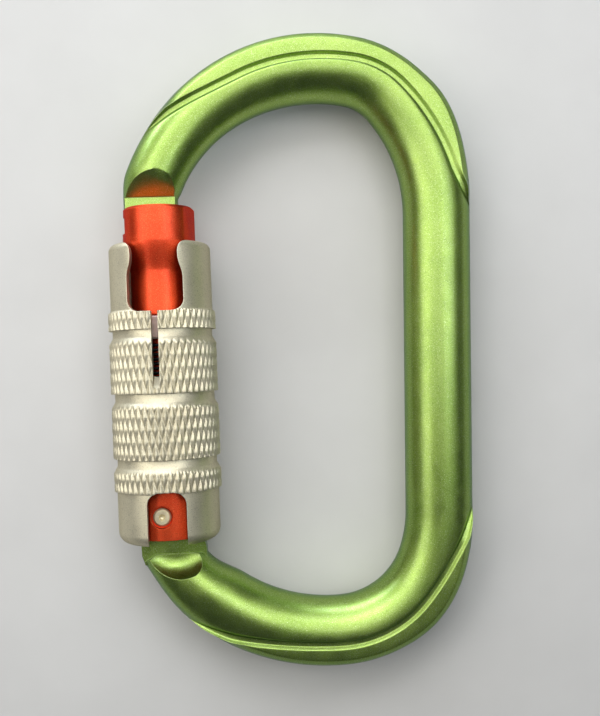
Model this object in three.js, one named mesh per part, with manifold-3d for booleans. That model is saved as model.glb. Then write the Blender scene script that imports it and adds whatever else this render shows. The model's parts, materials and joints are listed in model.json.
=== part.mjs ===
// Locking carabiner: a forged D-shaped frame of round rod, a hinged gate with a keyed slot for the
// nose, and a spring-loaded sleeve that is lifted and turned before the gate can swing in.
//
// Working axes, in millimetres: x from the gate's axis towards the spine, y along the gate from beside
// the hinge to the nose, z out of the plane of the frame. The finished group is tipped about y, so that
// the sleeve and the thinner spine both touch the ground, and its base is centred on the origin.

import * as THREE from 'three';
import { mergeVertices } from 'three/addons/utils/BufferGeometryUtils.js';
import Module from 'manifold-3d';

const wasm = await Module();
wasm.setup();

const GAP = 0.3; // clearance between neighbours
const FAR = 12; // past the outside of anything that is cut

// Frame
const ROD_RADIUS = 6;
const SPINE_LEAN = 1.66; // degrees: the spine is farther from the gate at the nose end
const SPINE_X = 48.65; // of the rod's centre at y = SPINE_X_AT
const SPINE_X_AT = 20;
const SPINE_TOP = 50.91;
const SPINE_BOTTOM = -2.31;
const TOP_ARCS = [[31.56, 41.4], [12.96, 38.1], [31.3, 80.2]]; // radius, degrees
const BOTTOM_ARCS = [[27.25, 18.2], [18.09, 67.4], [33.88, 61.9]];
const NOSE_ARC = [8.3, 22]; // brings the rod parallel to the gate
const TOP_TAPER_FROM = 0.52; // share of the bow where the rod starts to slim down
const BOTTOM_TAPER_FROM = 0.83;
const NECK_ROD_RADIUS = 5.12;
const NOSE_RADIUS = 4.76;
const HEEL_RADIUS = 5;
const INNER_TAPER = { from: 0.78, to: 0.9, radius: 4.8 }; // of the bottom bow's inner half
const ARC_STEP = 3;

// Pressed land on the outer half of each bow. Places along a bow run from 0 at the spine to 1.
// The groove's inner edge lies 'groove' outside the rod's centre, and runs out to the rod's side over
// 'rise' and 'fall' at the two ends. A share 'drift' of the first run-out is slower, over DRIFT_OVER.
const LAND_HEIGHT = 5; // above the frame's middle plane
const LAND_CORNER = 1.85;
const LAND_WALL_DROP = 3;
const LAND_UNDER_CROWN = 0.94; // where the land is high, its share of the groove's inner edge
const LAND_GROWS_OVER = 0.06;
const LAND_LEAST_WIDTH = 1.1;
const DRIFT_OVER = 0.6;
const GROOVE_WIDTH = 1.8;
const GROOVE_DEPTH = 0.4;
const BULGE_BEFORE = 0.12; // how far the bulge spreads towards the spine
const BULGE_AFTER = 0.085;
const TOP_LAND = {
  groove: -0.1, from: 0, rise: 0.1, drift: 0.5, to: 0.93, fall: 0.24, bulge: 1.35, peak: 0.228,
};
const BOTTOM_LAND = {
  groove: 0.45, from: -0.03, rise: 0.26, drift: 0, to: 0.85, fall: 0.36, bulge: 0.5, peak: 0.25,
};

// Nose and hinge tongue
const NOSE_STEP_Y = 54.8;
const NOSE_FACET_Y = 59.6;
const NOSE_STEP_HALF = 2.3;
const NOSE_NECK_HALF = 2.0;
const NOSE_KEY_TOP = 50.7;
const NOSE_END_Y = 48.9;
const NOSE_KEY_HALF = 2.5;
const HEEL_STEP_Y = -7.38;
const HEEL_DISH = { x: 1, across: 6.4, along: 3.95, floor: 2.45, rise: 2.9 };
const FACET_CROWN = 5.5; // height at which the nose's facets leave the rod
const TONGUE_HALF = 2.2;
const TONGUE_TOP = 4.9;
const TONGUE_RADIUS = 6.8; // about the hinge pin
const TONGUE_ARC = [-32.8, 36]; // degrees, on the side towards the spine
const TONGUE_TOP_HALF = 3.8;
const TONGUE_ROOT_Y = -9.4;

// Hinge
const PIN_X = -0.83;
const PIN_Y = -0.4;
const RIVET_RADIUS = 1.2;
const RIVET_HEAD_RADIUS = 1.55;
const RIVET_HEAD_FACE = 6.1;
const RIVET_HEAD_HEIGHT = 0.6;
const RIVET_RECESS_RADIUS = 1.95;

// Gate
const HEAD_RADIUS = 6.3;
const HEAD_TOP = 52.9;
const HEAD_BOTTOM = 47;
const HEAD_FACET_X = 4.6;
const HEAD_SLOT_END = 4;
const SLOT_ROOF_GAP = 0.4; // the nose rises a little as it leaves the slot
const SLOT_FLOOR_GAP = 0.5;
const GATE_CHAMFER = 0.5;
const WAIST_RADIUS = 5.2; // between the sleeve's prongs
const WAIST_TOP = 41.6;
const STEM_RADIUS = 4.4; // inside the sleeve's spring
const BLOCK_RADIUS = 6.5;
const BLOCK_TOP = 7;
const GATE_BOTTOM = -4.35;
const GATE_HEEL_RADIUS = 7; // about the hinge pin
const FORK_HALF = 2.5;
const FORK_TOP = 7.0;
const SPRING_BORE = 2.1;
const SPRING_BORE_TOP = 24;

// Plunger and its spring
const PLUNGER_RADIUS = 1.8;
const PLUNGER_BOTTOM = TONGUE_TOP + GAP;
const PLUNGER_TOP = 13;
const GATE_SPRING = { radius: 1.35, wire: 0.25, from: 13.6, to: 23.4, turns: 11 };

// Sleeve
const SLEEVE_BOTTOM = -5.2;
const SLEEVE_TOP = 46.6;
const SLEEVE_RADIUS = 8.85;
const BAND_RADIUS = 9.35;
const NECK_RADIUS = 8.65;
const SLEEVE_BORE = 6.8;
const BANDS = [[3.85, 6.95], [9.5, 18.1], [20.7, 29.15], [31.6, 34.6]]; // square below, bevelled above
const BAND_BEVEL = 1.2;
const TOP_BAND_BEVEL = 0.4;
const SHOULDER = [7.4, 9.4];
const SHOULDER_BORE = 4.75;
const WINDOW_BOTTOM = 34.6;
const WINDOW_HALF = 4.75;
const WINDOW_NECK = 4.0;
const WINDOW_CORNER = 2;
const WINDOW_SHOULDER = 39.8; // where the prongs start to close in
const WINDOW_THROAT = 44.3;
const WINDOW_FLARE = 1.9;
const WINDOW_TIP = 0.8; // reach of the curve round each prong's tip, sideways and down
const WINDOW_TIP_DROP = 0.6;
const WINDOW_TURN = -3.4; // degrees about the gate's axis
const ARCH_HALF = 3.3;
const ARCH_TOP = 4.1;
const ARCH_CORNER = 2.2;
const ARCH_TURN = 1.5;
const SLIT_X = -0.65;
const SLIT_HALF = 0.58;
const SLIT_BOTTOM = 21.6;
const SLEEVE_LIFT = 4;
const SLEEVE_TURN = 90;

// Pieces between the sleeve and the stem
const RING_INNER = STEM_RADIUS + GAP;
const RING_OUTER = 6.35;
const THRUST_RING = [SHOULDER[1] + GAP, 11.6];
const COLLAR = [30, 33.9];
const WAIST_BOTTOM = COLLAR[1] + GAP;
const SLEEVE_SPRING = { radius: 5.5, wire: 0.25, from: 12.2, to: 29.4, turns: 21 };

// Guide pin, and the pocket it sweeps as the sleeve lifts and turns
const GUIDE_RADIUS = 1;
const GUIDE_Y = 5.3;
const GUIDE_AZIMUTH = 225;
const GUIDE_REACH = [4.9, 7.5];
const POCKET_RADIUS = 7.9;
const POCKET_MARGIN = 10; // degrees

const radians = THREE.MathUtils.degToRad;

// ---------- solids ----------

function signedVolume(geometry) {
  const p = geometry.getAttribute('position');
  const index = geometry.getIndex();
  const [a, b, c] = [new THREE.Vector3(), new THREE.Vector3(), new THREE.Vector3()];
  let sum = 0;
  for (let i = 0; i < index.count; i += 3) {
    a.fromBufferAttribute(p, index.getX(i));
    b.fromBufferAttribute(p, index.getX(i + 1));
    c.fromBufferAttribute(p, index.getX(i + 2));
    sum += a.dot(b.cross(c)) / 6;
  }
  return sum;
}

// A closed geometry as a solid whose faces point out.
function solid(source) {
  const bare = source.clone();
  bare.deleteAttribute('normal');
  bare.deleteAttribute('uv');
  const geometry = mergeVertices(bare, 1e-4);
  const triVerts = Uint32Array.from(geometry.getIndex().array);
  if (signedVolume(geometry) < 0) {
    for (let i = 0; i < triVerts.length; i += 3) {
      [triVerts[i], triVerts[i + 1]] = [triVerts[i + 1], triVerts[i]];
    }
  }
  const vertProperties = Float32Array.from(geometry.getAttribute('position').array);
  return new wasm.Manifold(new wasm.Mesh({ numProp: 3, vertProperties, triVerts }));
}

function geometryOf(body) {
  const { vertProperties, triVerts } = body.getMesh();
  const geometry = new THREE.BufferGeometry();
  geometry.setAttribute('position', new THREE.BufferAttribute(vertProperties, 3));
  geometry.setIndex(new THREE.BufferAttribute(triVerts, 1));
  geometry.computeVertexNormals();
  return geometry;
}

// A shape in (x, y), as thick as 2 * half about the middle plane.
function plate(shape, half, curveSegments = 8) {
  const options = { depth: 2 * half, bevelEnabled: false, curveSegments };
  return solid(new THREE.ExtrudeGeometry(shape, options).translate(0, 0, -half));
}

function polygon(points) {
  return new THREE.Shape(points.map(([x, y]) => new THREE.Vector2(x, y)));
}

// A solid whose outline in (y, z) runs across the part from x = from to x = to.
function bar(outline, from, to) {
  const options = { depth: to - from, bevelEnabled: false };
  const geometry = new THREE.ExtrudeGeometry(polygon(outline), options);
  const yzx = new THREE.Matrix4().makeBasis(
    new THREE.Vector3(0, 1, 0), new THREE.Vector3(0, 0, 1), new THREE.Vector3(1, 0, 0));
  return solid(geometry.applyMatrix4(yzx).translate(from, 0, 0));
}

function box([x0, x1], [y0, y1], [z0, z1]) {
  const geometry = new THREE.BoxGeometry(x1 - x0, y1 - y0, z1 - z0);
  return solid(geometry.translate((x0 + x1) / 2, (y0 + y1) / 2, (z0 + z1) / 2));
}

// A solid of revolution about the gate's axis. The profile holds [radius, y] pairs.
function turned(profile, segments) {
  return solid(new THREE.LatheGeometry(profile.map(([r, y]) => new THREE.Vector2(r, y)), segments));
}

function disc(radius, [y0, y1], segments = 32) {
  return turned([[0, y0], [radius, y0], [radius, y1], [0, y1]], segments);
}

function ring([inner, outer], [y0, y1], segments = 36) {
  return turned([[inner, y0], [outer, y0], [outer, y1], [inner, y1], [inner, y0]], segments);
}

// A cylinder about the hinge's axis, from z0 to z1.
function hingePin(radius, z0, z1) {
  const geometry = new THREE.CylinderGeometry(radius, radius, z1 - z0, 24);
  return solid(geometry.rotateX(Math.PI / 2).translate(PIN_X, PIN_Y, (z0 + z1) / 2));
}

class Helix extends THREE.Curve {
  constructor({ radius, from, to, turns, wire }) {
    super();
    Object.assign(this, { radius, turns, start: from + wire, rise: to - from - 2 * wire });
  }

  getPoint(t, target = new THREE.Vector3()) {
    const angle = 2 * Math.PI * this.turns * t;
    const [x, z] = [this.radius * Math.cos(angle), -this.radius * Math.sin(angle)];
    return target.set(x, this.start + this.rise * t, z);
  }
}

function coilSpring(spring, stepsPerTurn, sides) {
  const section = new THREE.Shape().absarc(0, 0, spring.wire, 0, 2 * Math.PI);
  const geometry = new THREE.ExtrudeGeometry(section, {
    steps: spring.turns * stepsPerTurn,
    curveSegments: sides,
    extrudePath: new Helix(spring),
  });
  return solid(geometry);
}

// ---------- frame ----------

const spineX = (y) => SPINE_X + Math.tan(radians(SPINE_LEAN)) * (y - SPINE_X_AT);

// Stations {x, y, heading, share} along a chain of tangent arcs. turn is 1 for left and -1 for right.
function walk(start, heading, turn, arcs) {
  const total = arcs.reduce((sum, [radius, degrees]) => sum + radius * radians(degrees), 0);
  const stations = [{ ...start, heading, share: 0 }];
  let { x, y } = start;
  let travelled = 0;
  for (const [radius, degrees] of arcs) {
    const sweep = radians(degrees);
    const steps = Math.ceil((radius * sweep) / ARC_STEP);
    const chord = 2 * radius * Math.sin(sweep / steps / 2);
    for (let i = 0; i < steps; i += 1) {
      const half = (turn * sweep) / steps / 2;
      x += chord * Math.cos(heading + half);
      y += chord * Math.sin(heading + half);
      heading += 2 * half;
      travelled += (radius * sweep) / steps;
      stations.push({ x, y, heading, share: travelled / total });
    }
  }
  return stations;
}

const smooth = (t) => THREE.MathUtils.smoothstep(t, 0, 1);

// How far the land's groove lies outside the rod's centre, how far the land bulges past the rod,
// and how much of the land's section has grown out of the round one.
function landAt(share, radius, { groove, from, rise, drift, to, fall, bulge, peak }) {
  const left = (distance, over) => Math.max(0, 1 - distance / over) ** 2;
  const atStart = drift * left(share, DRIFT_OVER) + (1 - drift) * left(share - from, rise);
  const pull = Math.min(1, atStart + left(to - share, fall));
  const offset = Math.min(radius - LAND_LEAST_WIDTH, groove + (radius - groove) * pull);
  const spread = share < peak ? BULGE_BEFORE : BULGE_AFTER;
  const bump = bulge * Math.exp(-(((share - peak) / spread) ** 2));
  const grown = smooth((share - from) / LAND_GROWS_OVER) * smooth((to - share) / LAND_GROWS_OVER);
  return { offset, bump, grown };
}

// The land's outline as [outward, z] pairs, from the outer edge to the round rod.
function landOutline(radius, { offset, bump }) {
  const crown = Math.sqrt(radius ** 2 - offset ** 2);
  const height = Math.min(LAND_HEIGHT, crown * LAND_UNDER_CROWN);
  const share = height / LAND_HEIGHT;
  const edge = radius + bump;
  const groove = Math.min(GROOVE_WIDTH, 0.6 * (edge - offset));
  const shelf = Math.max(offset + groove, edge - LAND_CORNER);
  return [
    [edge, 0],
    [edge, height - LAND_WALL_DROP * share],
    [shelf, height],
    [offset + groove, height],
    [offset + groove / 2, height - GROOVE_DEPTH],
    [offset, crown],
  ];
}

// One section of the rod as [outward, z] pairs, starting at the outer edge and going round over
// the front. The first points morph into the land.
function sectionAt(radius, land) {
  const landPoints = 6;
  const arcSteps = 6;
  const step = radians(15);
  const onRod = (angle) => [radius * Math.cos(angle), radius * Math.sin(angle)];
  const lerp = THREE.MathUtils.lerp;
  const round = Array.from({ length: landPoints }, (_, i) => onRod(i * step));
  const pressed = land ? landOutline(radius, land) : round;
  const grown = land ? land.grown : 0;
  const front = round.map(([p, z], i) => [lerp(p, pressed[i][0], grown), lerp(z, pressed[i][1], grown)]);
  const lastRound = (landPoints - 1) * step;
  const first = land ? lerp(lastRound, Math.acos(land.offset / radius), grown) : lastRound;
  for (let i = 1; i < arcSteps; i += 1) front.push(onRod(lerp(first, Math.PI, i / arcSteps)));
  front.push([-radius, 0]);
  const back = front.slice(1, -1).reverse().map(([p, z]) => [p, -z]);
  return front.concat(back);
}

function loft(stations) {
  const positions = [];
  const index = [];
  const count = stations[0].section.length;
  for (const { x, y, heading, section } of stations) {
    for (const [p, z] of section) positions.push(x - p * Math.sin(heading), y + p * Math.cos(heading), z);
  }
  for (let s = 0; s < stations.length - 1; s += 1) {
    for (let i = 0; i < count; i += 1) {
      const [a, b] = [s * count + i, s * count + ((i + 1) % count)];
      index.push(a, b, a + count, b, b + count, a + count);
    }
  }
  for (const [first, flip] of [[0, true], [(stations.length - 1) * count, false]]) {
    for (let i = 1; i < count - 1; i += 1) {
      index.push(first, first + (flip ? i + 1 : i), first + (flip ? i : i + 1));
    }
  }
  const geometry = new THREE.BufferGeometry();
  geometry.setAttribute('position', new THREE.Float32BufferAttribute(positions, 3));
  geometry.setIndex(index);
  return solid(geometry);
}

// Takes the inner half of a section of the bottom bow in, which clears the sleeve's skirt.
function slimInside(station) {
  const { from, to, radius } = INNER_TAPER;
  const inner = THREE.MathUtils.lerp(ROD_RADIUS, radius, smooth((station.share - from) / (to - from)));
  const reach = Math.max(...station.section.map(([p]) => -p));
  const scale = Math.min(1, inner / reach);
  station.section = station.section.map(([p, z]) => [p < 0 ? p * scale : p, z]);
}

// The rod from the nose, over the top bow, down the spine and round the bottom bow to the heel.
function frameStations() {
  const up = Math.PI / 2 - radians(SPINE_LEAN);
  const top = walk({ x: spineX(SPINE_TOP), y: SPINE_TOP }, up, 1, TOP_ARCS);
  const last = top.at(-1);
  const nose = walk({ x: last.x, y: last.y }, last.heading, 1, [NOSE_ARC]).slice(1);
  const noseX = nose.at(-1).x;
  const straight = [NOSE_KEY_TOP, NOSE_END_Y].map((y) => ({ x: noseX, y, heading: 1.5 * Math.PI }));
  const reverse = (list) => list.map((s) => ({ ...s, heading: s.heading + Math.PI })).reverse();
  const addSections = (bow, from, end, land) => bow.forEach((s) => {
    const radius = THREE.MathUtils.lerp(ROD_RADIUS, end, smooth((s.share - from) / (1 - from)));
    s.section = sectionAt(radius, landAt(s.share, radius, land));
  });

  addSections(top, TOP_TAPER_FROM, NECK_ROD_RADIUS, TOP_LAND);
  nose.forEach((s) => {
    s.section = sectionAt(THREE.MathUtils.lerp(NECK_ROD_RADIUS, NOSE_RADIUS, smooth(s.share)));
  });
  straight.forEach((s) => {
    s.section = sectionAt(NOSE_RADIUS);
  });

  const down = -Math.PI / 2 - radians(SPINE_LEAN);
  const bottom = walk({ x: spineX(SPINE_BOTTOM), y: SPINE_BOTTOM }, down, -1, BOTTOM_ARCS);
  addSections(bottom, BOTTOM_TAPER_FROM, HEEL_RADIUS, BOTTOM_LAND);
  bottom.forEach(slimInside);
  return [...reverse([...top, ...nose, ...straight]), ...bottom];
}

// An outline in (y, z) and its mirror image in z, both pushed across the whole rod.
function bothFaces(outline) {
  return bar(outline, -FAR, FAR).add(bar(outline.map(([y, z]) => [y, -z]), -FAR, FAR));
}

// Flattens both faces of the nose as far as its step, then leaves a facet that climbs to the crown.
function noseMilling() {
  return bothFaces([
    [NOSE_KEY_TOP, NOSE_NECK_HALF], [NOSE_STEP_Y, NOSE_NECK_HALF], [NOSE_STEP_Y, NOSE_STEP_HALF],
    [NOSE_FACET_Y, FACET_CROWN], [NOSE_FACET_Y, FAR], [NOSE_KEY_TOP, FAR],
  ]);
}

// Flattens both faces of the heel for the gate's fork.
function heelMilling() {
  return bothFaces([[0, TONGUE_HALF], [HEEL_STEP_Y, TONGUE_HALF], [HEEL_STEP_Y, FAR], [0, FAR]]);
}

// A shallow dish in each face of the heel, level beside the step and steeper towards its rim.
function heelDishes() {
  const { x, across, along, floor, rise } = HEEL_DISH;
  const steps = 8;
  const profile = [[0, FAR], [1, FAR]];
  for (let i = steps; i > 0; i -= 1) profile.push([i / steps, floor + rise * (i / steps) ** 3]);
  profile.push([0, floor]);
  const bowl = turned(profile, 48).rotate([90, 0, 0]);
  const front = bowl.scale([across, along, 1]).translate([x, HEEL_STEP_Y, 0]);
  return front.add(front.mirror([0, 0, 1]));
}

function keyMilling() {
  const below = NOSE_END_Y - 1;
  return bothFaces([
    [NOSE_KEY_TOP, NOSE_KEY_HALF], [NOSE_KEY_TOP, FAR], [below, FAR], [below, NOSE_KEY_HALF],
  ]);
}

// The tongue inside the gate's fork: round about the pin towards the spine, flat on top.
function hingeTongue() {
  const [from, to] = TONGUE_ARC.map(radians);
  const [x, y] = [PIN_X + TONGUE_RADIUS * Math.cos(from), PIN_Y + TONGUE_RADIUS * Math.sin(from)];
  const rootLeft = -4.55;
  const rootRight = 6.4;
  const leftSide = [[PIN_X - 4.4, 3.2], [-5.1, -7.6]];
  const shape = new THREE.Shape();
  shape.moveTo(rootLeft, TONGUE_ROOT_Y);
  shape.lineTo(rootRight, TONGUE_ROOT_Y);
  shape.quadraticCurveTo(rootRight, y - 1, x, y);
  shape.absarc(PIN_X, PIN_Y, TONGUE_RADIUS, from, to, false);
  shape.lineTo(PIN_X + TONGUE_TOP_HALF, TONGUE_TOP);
  shape.lineTo(PIN_X - TONGUE_TOP_HALF, TONGUE_TOP);
  for (const [u, v] of leftSide) shape.lineTo(u, v);
  return plate(shape, TONGUE_HALF, 6);
}

function frame() {
  return loft(frameStations())
    .subtract(noseMilling())
    .subtract(keyMilling())
    .subtract(heelMilling())
    .subtract(heelDishes())
    .add(hingeTongue())
    .subtract(hingePin(RIVET_RADIUS + GAP, -FAR, FAR));
}

// ---------- gate ----------

// The gate before it is cut, as [radius, y] pairs: head, waist, stem and hinge block.
function gateProfile() {
  const middle = (HEAD_BOTTOM + WAIST_TOP) / 2;
  const neck = new THREE.CubicBezierCurve(
    new THREE.Vector2(HEAD_RADIUS, HEAD_BOTTOM), new THREE.Vector2(HEAD_RADIUS, middle),
    new THREE.Vector2(WAIST_RADIUS, middle), new THREE.Vector2(WAIST_RADIUS, WAIST_TOP));
  return [
    [0, HEAD_TOP], [HEAD_RADIUS - GATE_CHAMFER, HEAD_TOP], [HEAD_RADIUS, HEAD_TOP - GATE_CHAMFER],
    ...neck.getPoints(5).map(({ x, y }) => [x, y]),
    [WAIST_RADIUS, WAIST_BOTTOM], [STEM_RADIUS, WAIST_BOTTOM],
    [STEM_RADIUS, BLOCK_TOP], [BLOCK_RADIUS - GATE_CHAMFER, BLOCK_TOP],
    [BLOCK_RADIUS, BLOCK_TOP - GATE_CHAMFER], [BLOCK_RADIUS, GATE_BOTTOM], [0, GATE_BOTTOM],
  ];
}

// The T-shaped slot that takes the nose, open away from the spine.
function noseSlot() {
  const [neck, key] = [NOSE_NECK_HALF + GAP, NOSE_KEY_HALF + GAP];
  const [roof, floor] = [NOSE_KEY_TOP + SLOT_ROOF_GAP, NOSE_END_Y - SLOT_FLOOR_GAP];
  const half = [[HEAD_TOP + 1, neck], [roof, neck], [roof, key], [floor, key]];
  const other = half.map(([y, z]) => [y, -z]).reverse();
  return bar([...half, ...other], -FAR, HEAD_SLOT_END);
}

// Two flats that meet at a crease on the side of the head that faces the spine.
function headFacets() {
  const half = Math.sqrt(HEAD_RADIUS ** 2 - HEAD_FACET_X ** 2);
  const outline = polygon([
    [HEAD_FACET_X, half], [HEAD_RADIUS, 0], [HEAD_FACET_X, -half], [FAR, -half], [FAR, half],
  ]);
  const from = (HEAD_BOTTOM + WAIST_TOP) / 2;
  const geometry = new THREE.ExtrudeGeometry(outline, { depth: HEAD_TOP + 1 - from, bevelEnabled: false });
  return solid(geometry.rotateX(-Math.PI / 2).translate(0, from, 0));
}

// Rounds the fork's lower inner corner about the hinge pin, so that it clears the frame's shoulder.
function heelRelief() {
  const from = Math.asin((GATE_BOTTOM - PIN_Y) / GATE_HEEL_RADIUS);
  const to = -0.05;
  const x = PIN_X + GATE_HEEL_RADIUS * Math.cos(from);
  const shape = new THREE.Shape();
  shape.moveTo(x, GATE_BOTTOM);
  shape.absarc(PIN_X, PIN_Y, GATE_HEEL_RADIUS, from, to, false);
  shape.lineTo(FAR, PIN_Y);
  shape.lineTo(FAR, GATE_BOTTOM - 1);
  shape.lineTo(x, GATE_BOTTOM - 1);
  return plate(shape, FAR, 6);
}

function gateBody() {
  const underHead = RIVET_HEAD_FACE - RIVET_HEAD_HEIGHT - GAP;
  return turned(gateProfile(), 40)
    .subtract(noseSlot())
    .subtract(headFacets())
    .subtract(box([-FAR, FAR], [GATE_BOTTOM - 1, FORK_TOP], [-FORK_HALF, FORK_HALF]))
    .subtract(disc(SPRING_BORE, [FORK_TOP - 1, SPRING_BORE_TOP], 20))
    .subtract(hingePin(RIVET_RADIUS + GAP, -FAR, FAR))
    .subtract(hingePin(RIVET_RECESS_RADIUS, underHead, FAR))
    .subtract(hingePin(RIVET_RECESS_RADIUS, -FAR, -underHead))
    .subtract(heelRelief())
    .subtract(radialPin(GUIDE_RADIUS + GAP, GUIDE_REACH[0] - GAP, FAR));
}

// A cylinder that points out from the gate's axis at the guide pin's place.
function radialPin(radius, from, to) {
  const geometry = new THREE.CylinderGeometry(radius, radius, to - from, 20);
  geometry.rotateZ(Math.PI / 2).translate((from + to) / 2, GUIDE_Y, 0);
  return solid(geometry.rotateY(radians(GUIDE_AZIMUTH)));
}

function hingeRivet() {
  const face = RIVET_HEAD_FACE;
  const under = face - RIVET_HEAD_HEIGHT;
  const inHead = (under + face) / 2;
  return hingePin(RIVET_RADIUS, -inHead, inHead)
    .add(hingePin(RIVET_HEAD_RADIUS, under, face))
    .add(hingePin(RIVET_HEAD_RADIUS, -face, -under));
}

function gatePlunger() {
  const foot = 0.5;
  return turned([
    [0, PLUNGER_BOTTOM], [PLUNGER_RADIUS - foot, PLUNGER_BOTTOM], [PLUNGER_RADIUS, PLUNGER_BOTTOM + foot],
    [PLUNGER_RADIUS, PLUNGER_TOP], [0, PLUNGER_TOP],
  ], 20);
}

// ---------- sleeve ----------

// Points on an arc in degrees, in the (radius, y) plane.
function profileArc([x, y], size, from, to, steps) {
  return Array.from({ length: steps + 1 }, (_, i) => {
    const angle = radians(THREE.MathUtils.lerp(from, to, i / steps));
    return [x + size * Math.cos(angle), y + size * Math.sin(angle)];
  });
}

// The outside of the sleeve from the skirt up, as [radius, y] pairs.
function sleeveOutline() {
  const skirt = 2;
  const lip = 1.2;
  const outline = profileArc([SLEEVE_RADIUS - skirt, SLEEVE_BOTTOM + skirt], skirt, -90, 0, 4);
  BANDS.forEach(([from, to], i) => {
    const last = i === BANDS.length - 1;
    outline.push([i === 0 ? SLEEVE_RADIUS : NECK_RADIUS, from], [BAND_RADIUS, from], [BAND_RADIUS, to]);
    outline.push(last ? [SLEEVE_RADIUS, to + TOP_BAND_BEVEL] : [NECK_RADIUS, to + BAND_BEVEL]);
  });
  return outline.concat(profileArc([SLEEVE_RADIUS - lip, SLEEVE_TOP - lip], lip, 0, 90, 3));
}

// The U-shaped window between the two prongs, open at the top: down one side and up the other.
function windowShape() {
  const [wide, neck, corner] = [WINDOW_HALF, WINDOW_NECK, WINDOW_CORNER];
  const [floor, shoulder, throat, top] = [WINDOW_BOTTOM, WINDOW_SHOULDER, WINDOW_THROAT, SLEEVE_TOP];
  const pull = (throat - shoulder) / 2;
  const lip = neck + WINDOW_FLARE;
  const shape = new THREE.Shape();
  shape.moveTo(-lip, top + 1);
  shape.lineTo(-lip, top);
  shape.bezierCurveTo(-neck - WINDOW_TIP, top, -neck, top - WINDOW_TIP_DROP, -neck, throat);
  shape.bezierCurveTo(-neck, throat - pull, -wide, shoulder + pull, -wide, shoulder);
  shape.lineTo(-wide, floor + corner);
  shape.quadraticCurveTo(-wide, floor, -wide + corner, floor);
  shape.lineTo(wide - corner, floor);
  shape.quadraticCurveTo(wide, floor, wide, floor + corner);
  shape.lineTo(wide, shoulder);
  shape.bezierCurveTo(wide, shoulder + pull, neck, throat - pull, neck, throat);
  shape.bezierCurveTo(neck, top - WINDOW_TIP_DROP, neck + WINDOW_TIP, top, lip, top);
  shape.lineTo(lip, top + 1);
  return shape;
}

// The arch over the hinge rivet, open at the skirt's edge.
function archShape() {
  const shape = new THREE.Shape();
  const [w, c] = [ARCH_HALF, ARCH_CORNER];
  shape.moveTo(-w, SLEEVE_BOTTOM - 1);
  shape.lineTo(w, SLEEVE_BOTTOM - 1);
  shape.lineTo(w, ARCH_TOP - c);
  shape.absarc(w - c, ARCH_TOP - c, c, 0, Math.PI / 2, false);
  shape.absarc(-(w - c), ARCH_TOP - c, c, Math.PI / 2, Math.PI, false);
  return shape;
}

// The part of the sleeve's wall that the guide pin sweeps.
function guidePocket() {
  const start = radians(GUIDE_AZIMUTH - SLEEVE_TURN - POCKET_MARGIN);
  const end = radians(GUIDE_AZIMUTH + POCKET_MARGIN);
  const sector = new THREE.Shape();
  sector.absarc(0, 0, POCKET_RADIUS, start, end, false);
  sector.absarc(0, 0, SLEEVE_BORE - 0.5, end, start, true);
  const clear = GUIDE_RADIUS + GAP;
  const depth = SLEEVE_LIFT + 2 * clear;
  const geometry = new THREE.ExtrudeGeometry(sector, { depth, bevelEnabled: false, curveSegments: 10 });
  return solid(geometry.rotateX(-Math.PI / 2).translate(0, GUIDE_Y - SLEEVE_LIFT - clear, 0));
}

function lockingSleeve() {
  const tube = [
    [SLEEVE_BORE, SLEEVE_BOTTOM], ...sleeveOutline(), [SLEEVE_BORE, SLEEVE_TOP],
    [SLEEVE_BORE, SHOULDER[1]], [SHOULDER_BORE, SHOULDER[1]], [SHOULDER_BORE, SHOULDER[0]],
    [SLEEVE_BORE, SHOULDER[0]], [SLEEVE_BORE, SLEEVE_BOTTOM],
  ];
  const slitSides = [SLIT_X - SLIT_HALF, SLIT_X + SLIT_HALF];
  return turned(tube, 56)
    .subtract(plate(windowShape(), FAR, 4).rotate([0, WINDOW_TURN, 0]))
    .subtract(plate(archShape(), FAR, 4).rotate([0, ARCH_TURN, 0]))
    .subtract(box(slitSides, [SLIT_BOTTOM, WINDOW_BOTTOM + 1], [STEM_RADIUS, FAR]))
    .subtract(guidePocket());
}

// ---------- assembly ----------

const green = { color: 0x6fae2b, roughness: 0.35, metalness: 0.8 };
const red = { color: 0xd8341c, roughness: 0.35, metalness: 0.8 };
const champagne = { color: 0xa9a28e, roughness: 0.5, metalness: 0.75 };
const steel = { color: 0xb9b4a6, roughness: 0.3, metalness: 0.95 };
const blackWire = { color: 0x26262a, roughness: 0.4, metalness: 0.9 };
const acetal = { color: 0xc9b4ac, roughness: 0.6, metalness: 0 };

const pieces = [
  ['frame', frame(), green],
  ['gate_body', gateBody(), red],
  ['hinge_rivet', hingeRivet(), steel],
  ['gate_plunger', gatePlunger(), steel],
  ['gate_spring', coilSpring(GATE_SPRING, 8, 3), steel],
  ['guide_pin', radialPin(GUIDE_RADIUS, ...GUIDE_REACH), steel],
  ['locking_sleeve', lockingSleeve(), champagne],
  ['spring_collar', ring([RING_INNER, RING_OUTER], COLLAR), acetal],
  ['sleeve_spring', coilSpring(SLEEVE_SPRING, 8, 3), blackWire],
  ['thrust_ring', ring([RING_INNER, RING_OUTER], THRUST_RING), steel],
];

const carabiner = new THREE.Group();
for (const [name, body, look] of pieces) {
  const mesh = new THREE.Mesh(geometryOf(body), new THREE.MeshStandardMaterial(look));
  mesh.name = name;
  carabiner.add(mesh);
}

// Lying on the ground, the fat sleeve and the thin spine tip the frame's plane.
const widest = Math.max(...frameStations().map(({ x }) => x));
carabiner.rotation.y = Math.asin((BAND_RADIUS - ROD_RADIUS) / widest);

const part = new THREE.Group();
part.add(carabiner);
part.updateMatrixWorld(true);
const bounds = new THREE.Box3().setFromObject(part, true);
const centre = bounds.getCenter(new THREE.Vector3());
carabiner.position.set(-centre.x, -centre.y, -bounds.min.z);
part.updateMatrixWorld(true);

export default part;
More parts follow.
